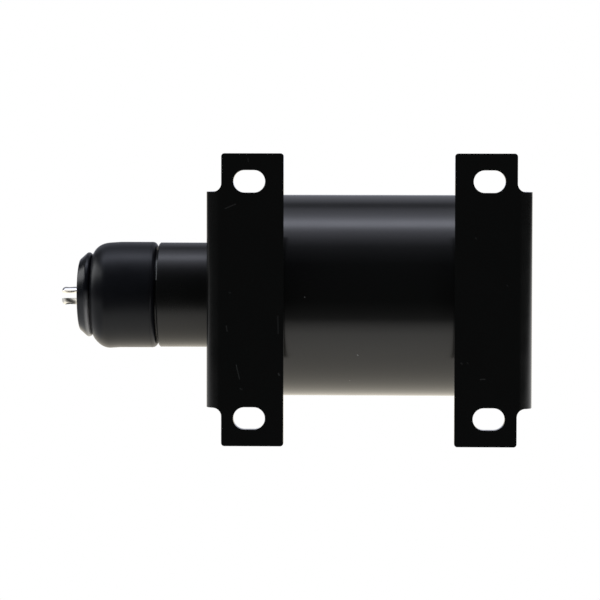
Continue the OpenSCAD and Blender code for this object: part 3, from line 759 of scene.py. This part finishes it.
# Terminal studs
# Turned brass studs whose heads lie inside the housing, under the block's bosses. The thread is a
# rolled ridge of 0.8 mm pitch above the block.
THREAD_PITCH = 0.8 * MM
THREAD_WIDTH = 0.7 * MM
THREAD_DEPTH = 0.4 * MM
THREAD_STEPS = 32
STUD_STEPS = 48
STUD_RADIUS = 2.4 * MM
STUD_CHAMFER = 0.5 * MM
HEAD_HEIGHT = 2.5 * MM
HEAD_CHAMFER = 0.3 * MM
CREST_START = 0.44
CREST_END = 0.56
RIDGE_SINK = 0.05 * MM
TURNED_BRASS = "#d9bd7a"
FINGERED_BRASS = "#b5935a"
FINGER_MARK_SIZE = 2 * MM
STUD_SMOOTH = 0.22
STUD_DULL = 0.38

# Turned brass that has been handled: its colour and its gloss both vary
stud_brass, tree, shader, place = new_finish("turned brass of the terminals")
fingered = mottled(tree, shader, place, FINGER_MARK_SIZE, TURNED_BRASS, FINGERED_BRASS, detail=4.0)
wear = add(
    tree, "ShaderNodeMapRange",
    {"From Min": NOISE_LOW, "From Max": NOISE_HIGH, "To Min": STUD_SMOOTH, "To Max": STUD_DULL},
    {"Value": fingered},
)
shader.inputs["Metallic"].default_value = 1.0
tree.links.new(wear.outputs["Result"], shader.inputs["Roughness"])

block_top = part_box("terminal_nuts")[0].z
for number in (1, 2):
    node = "terminal_stud_%d" % number
    low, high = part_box(node)
    centre = Vector(((low.x + high.x) / 2, (low.y + high.y) / 2, 0))
    head_radius = (high.x - low.x) / 2
    core = STUD_RADIUS - THREAD_DEPTH
    stud_shape = bmesh.new()
    profile = [
        (0, low.z), (head_radius - HEAD_CHAMFER, low.z), (head_radius, low.z + HEAD_CHAMFER),
        (head_radius, low.z + HEAD_HEIGHT), (STUD_RADIUS, low.z + HEAD_HEIGHT),
        (STUD_RADIUS, block_top - THREAD_DEPTH), (core, block_top), (core, high.z - STUD_CHAMFER / 2),
        (core - STUD_CHAMFER / 2, high.z), (0, high.z),
    ]
    verts = [stud_shape.verts.new((r, 0, z)) for r, z in profile]
    edges = [stud_shape.edges.new(pair) for pair in zip(verts, verts[1:])]
    bmesh.ops.spin(
        stud_shape, geom=verts + edges, cent=(0, 0, 0), axis=(0, 0, 1), dvec=(0, 0, 0), angle=FULL_TURN,
        steps=STUD_STEPS, use_merge=True, use_duplicate=False,
    )
    bmesh.ops.remove_doubles(stud_shape, verts=stud_shape.verts, dist=MERGE_DISTANCE)
    ridge_base = core - RIDGE_SINK
    ridge = [
        (ridge_base, block_top), (STUD_RADIUS, block_top + THREAD_WIDTH * CREST_START),
        (STUD_RADIUS, block_top + THREAD_WIDTH * CREST_END), (ridge_base, block_top + THREAD_WIDTH),
    ]
    turns = (high.z - STUD_CHAMFER - block_top - THREAD_WIDTH) / THREAD_PITCH
    steps = int(turns * THREAD_STEPS)
    start_face = stud_shape.faces.new([stud_shape.verts.new((r, 0, z)) for r, z in ridge])
    swept = bmesh.ops.spin(
        stud_shape, geom=[start_face] + list(start_face.edges) + list(start_face.verts), cent=(0, 0, 0),
        axis=(0, 0, 1), dvec=(0, 0, THREAD_PITCH / THREAD_STEPS), angle=FULL_TURN * steps / THREAD_STEPS,
        steps=steps, use_merge=False, use_duplicate=False,
    )
    bmesh.ops.recalc_face_normals(stud_shape, faces=stud_shape.faces)
    bmesh.ops.translate(stud_shape, verts=stud_shape.verts, vec=centre)
    stud = piece_from(stud_shape, node + "_threaded", stud_brass, weighted=False)
    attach(stud, "housing")
    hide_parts(node)


# Terminal nuts and lock washers
# Hexagon nuts of the same brass: the lower one holds each stud, and the upper one clamps a wire's ring
# on a split lock washer of plated spring steel.
NUT_EDGE = 0.15 * MM
WASHER_EDGE = 0.12 * MM
nuts = piece_from(rounded_copy("terminal_nuts", NUT_EDGE), "terminal_nuts_turned", stud_brass)
washers = piece_from(rounded_copy("terminal_washers", WASHER_EDGE), "terminal_washers_split", wire_steel)
for piece, node, slot in (
    (nuts, "terminal_nuts", "terminal_brass"), (washers, "terminal_washers", "spring_steel"),
):
    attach(piece, "housing")
    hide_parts(node)


# Studio
# A pale floor under the feet, and soft light from the sides and from above. It is dark below, where the
# camera stands and looks up at the feet, and the floor can't be seen from there.
FLOOR_SIZE = 4.0
FLOOR_DROP = 0.1 * MM
FLOOR = "#e9e9e7"
floor_shape = bmesh.new()
bmesh.ops.create_grid(floor_shape, x_segments=1, y_segments=1, size=FLOOR_SIZE / 2)
bmesh.ops.translate(floor_shape, verts=floor_shape.verts, vec=(0, 0, -FLOOR_DROP))

# Matt floor paint, nearly white, that is clear from below
floor_paint, tree, shader, place = new_finish("pale studio floor")
shader.inputs["Base Color"].default_value = linear(FLOOR)
shader.inputs["Roughness"].default_value = 0.9
see_through = add(tree, "ShaderNodeBsdfTransparent")
side = add(tree, "ShaderNodeNewGeometry")
both = add(
    tree, "ShaderNodeMixShader", None,
    {0: side.outputs["Backfacing"], 1: shader.outputs[0], 2: see_through.outputs[0]},
)
tree.links.new(both.outputs[0], tree.nodes["Material Output"].inputs["Surface"])
floor = piece_from(floor_shape, "studio_floor", floor_paint, weighted=False)
floor.visible_diffuse = False
floor.visible_glossy = False
floor.visible_transmission = False
floor.visible_shadow = False
floor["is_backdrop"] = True

# What the paint mirrors, by the direction in the plane across the housing: 0 degrees points down to
# the camera, +90 along +Y, 180 straight up and -90 along -Y, with the brightness there. The light on
# the -Y side is a little cooler, and the one on the +Y side grows warmer with the angle.
SURROUNDINGS = [
    (-180, 0.95), (-172, 0.55), (-164, 0.30), (-148, 0.36), (-138, 0.31), (-130, 0.16), (-124, 0.20),
    (-117, 0.50), (-110, 0.78), (-104, 1.18), (-99, 1.90), (-94, 2.95), (-89, 3.00), (-85, 1.75), (-80, 1.05),
    (-75, 0.80), (-68, 0.45), (-60, 0.16), (-50, 0.08), (-38, 0.02), (5, 0.01), (15, 0.05), (25, 0.12),
    (29, 0.38), (36, 0.73), (43, 0.98), (60, 1.12), (90, 1.16), (130, 1.22), (150, 1.22), (180, 0.95),
]
BRIGHTEST = 3.2
COOL = (0.97, 1.0, 1.15)
WARM = (1.07, 1.0, 0.86)
WARM_FULL = 130
# To the sides it is bright beyond a sloping edge: (0, 1, slope) gives the place across that edge
SIDE_FROM = 0.35
SIDE_FULL = 0.62
SIDE_SLOPE = 0.07
SIDE_EDGE = (0.045, 0.115)
SIDE_DARK = 0.02
SIDE_BLEND = 0.1
FRONT_SIDE_LIGHT = 0.68
REAR_SIDE_LIGHT = 1.2
# A tall soft box stands on the -X side. Each edge direction comes with the limits along it, as shares
# of the box's distance.
BOX_FACING = Vector((-1, 0, 0))
BOX_LIMITS = [
    (Vector((0, -0.837, 0.547)), 0.28, 0.92),
    (Vector((0, -0.547, -0.837)), -0.35, 1.6),
]
BOX_MARGIN = 0.16
BOX_LIGHT = 3.3
world = bpy.data.worlds.new("studio")
bpy.context.scene.world = world
world.use_nodes = True
tree = world.node_tree
background = tree.nodes["Background"]
direction = add(tree, "ShaderNodeTexCoord").outputs["Generated"]
parts = add(tree, "ShaderNodeSeparateXYZ", None, {0: direction})
down = add(tree, "ShaderNodeMath", {1: -1.0}, {0: parts.outputs["Z"]}, operation="MULTIPLY")
angle = add(tree, "ShaderNodeMath", None, {0: parts.outputs["Y"], 1: down.outputs[0]}, operation="ARCTAN2")
share = add(
    tree, "ShaderNodeMapRange", {"From Min": -math.pi, "From Max": math.pi, "To Min": 0.0, "To Max": 1.0},
    {"Value": angle.outputs[0]},
)
ramp = add(tree, "ShaderNodeValToRGB", None, {0: share.outputs["Result"]})
stops = ramp.color_ramp.elements
stops.remove(stops[1])
for i, (degrees, value) in enumerate(SURROUNDINGS):
    stop = stops[0] if i == 0 else stops.new((degrees + 180) / 360)
    stop.position = (degrees + 180) / 360
    warmth = min(1, degrees / WARM_FULL)
    tint = COOL if degrees < 0 else [1 + warmth * (channel - 1) for channel in WARM]
    stop.color = tuple(value * channel / BRIGHTEST for channel in tint) + (1.0,)
sideways = add(tree, "ShaderNodeMath", None, {0: parts.outputs["X"]}, operation="ABSOLUTE")
side_share = add(
    tree, "ShaderNodeMapRange", {"From Min": SIDE_FROM, "From Max": SIDE_FULL, "To Min": 0.0, "To Max": 1.0},
    {"Value": sideways.outputs[0]}, interpolation_type="SMOOTHSTEP",
)
side_place = add(
    tree, "ShaderNodeVectorMath", {1: (0, 1, SIDE_SLOPE)}, {0: direction}, operation="DOT_PRODUCT",
)
side_power = add(
    tree, "ShaderNodeMapRange",
    {
        "From Min": -SIDE_BLEND, "From Max": SIDE_BLEND, "To Min": FRONT_SIDE_LIGHT / BRIGHTEST,
        "To Max": REAR_SIDE_LIGHT / BRIGHTEST,
    },
    {"Value": parts.outputs["X"]},
)
side_light = add(
    tree, "ShaderNodeMapRange",
    {"From Min": SIDE_EDGE[0], "From Max": SIDE_EDGE[1], "To Min": SIDE_DARK / BRIGHTEST},
    {"Value": side_place.outputs["Value"], "To Max": side_power.outputs["Result"]},
    interpolation_type="SMOOTHSTEP",
)
surround = add(
    tree, "ShaderNodeMix", None,
    {"Factor": side_share.outputs["Result"], "A": ramp.outputs["Color"], "B": side_light.outputs["Result"]},
    data_type="RGBA",
)
towards = add(tree, "ShaderNodeVectorMath", {1: BOX_FACING}, {0: direction}, operation="DOT_PRODUCT")
box = add(
    tree, "ShaderNodeMapRange", {"From Min": 0.0, "From Max": BOX_MARGIN, "To Max": BOX_LIGHT / BRIGHTEST},
    {"Value": towards.outputs["Value"]},
)
for edge, first, last in BOX_LIMITS:
    offset = add(tree, "ShaderNodeVectorMath", {1: edge}, {0: direction}, operation="DOT_PRODUCT")
    along = add(
        tree, "ShaderNodeMath", None, {0: offset.outputs["Value"], 1: towards.outputs["Value"]},
        operation="DIVIDE",
    )
    centred = add(
        tree, "ShaderNodeMath", {1: (first + last) / 2}, {0: along.outputs[0]}, operation="SUBTRACT",
    )
    distance = add(tree, "ShaderNodeMath", None, {0: centred.outputs[0]}, operation="ABSOLUTE")
    inside = add(
        tree, "ShaderNodeMapRange",
        {
            "From Min": (last - first) / 2 - BOX_MARGIN, "From Max": (last - first) / 2, "To Min": 1.0,
            "To Max": 0.0,
        },
        {"Value": distance.outputs[0]}, interpolation_type="SMOOTHSTEP",
    )
    box = add(tree, "ShaderNodeMath", None, {0: box.outputs[0], 1: inside.outputs[0]}, operation="MULTIPLY")
lit = add(
    tree, "ShaderNodeVectorMath", None, {0: surround.outputs["Result"], 1: box.outputs[0]}, operation="ADD",
)
in_view = add(tree, "ShaderNodeLightPath").outputs["Is Camera Ray"]
scaled = add(
    tree, "ShaderNodeMix", {"B": (1, 1, 1, 1)}, {"Factor": in_view, "A": lit.outputs[0]}, data_type="RGBA",
)
power = add(tree, "ShaderNodeMapRange", {"To Min": BRIGHTEST, "To Max": 1.0}, {"Value": in_view})
tree.links.new(scaled.outputs["Result"], background.inputs["Color"])
tree.links.new(power.outputs["Result"], background.inputs["Strength"])

# One soft lamp above gives the shadow on the floor
LAMP_PLACE = Vector((-0.35, -0.5, 0.9))
LAMP_SIZE = 0.5
LAMP_POWER = 6.0
lamp_data = bpy.data.lights.new("soft lamp", "AREA")
lamp_data.shape = "DISK"
lamp_data.size = LAMP_SIZE
lamp_data.energy = LAMP_POWER
lamp = bpy.data.objects.new("soft lamp", lamp_data)
lamp.location = LAMP_PLACE
lamp.rotation_euler = (Vector((0, 0, axis_height)) - LAMP_PLACE).to_track_quat("-Z", "Y").to_euler()
lamp.visible_glossy = False
bpy.context.scene.collection.objects.link(lamp)

# The camera of the photograph, found from its slots, feet and edges
CAMERA_PLACE = Vector((3.161, -30.182, -657.683)) * MM
CAMERA_RIGHT = Vector((0.99951524, -0.00174986, 0.03108412))
CAMERA_UP = Vector((-0.00316829, -0.99895286, 0.04564146))
CAMERA_LENS = 158.030
camera_data = bpy.data.cameras.new("photo camera")
camera_data.sensor_width = 36.0
camera_data.lens = CAMERA_LENS
camera_data.clip_start = 0.05
camera_data.clip_end = 20.0
camera = bpy.data.objects.new("photo camera", camera_data)
back = CAMERA_RIGHT.cross(CAMERA_UP)
turn = Matrix((CAMERA_RIGHT, CAMERA_UP, back)).transposed()
camera.matrix_world = Matrix.Translation(CAMERA_PLACE) @ turn.to_4x4()
bpy.context.scene.collection.objects.link(camera)
bpy.context.scene.camera = camera
bpy.context.scene.view_settings.view_transform = "Standard"


# Sizes
# The box of the dressed part, in metres.
low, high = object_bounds()
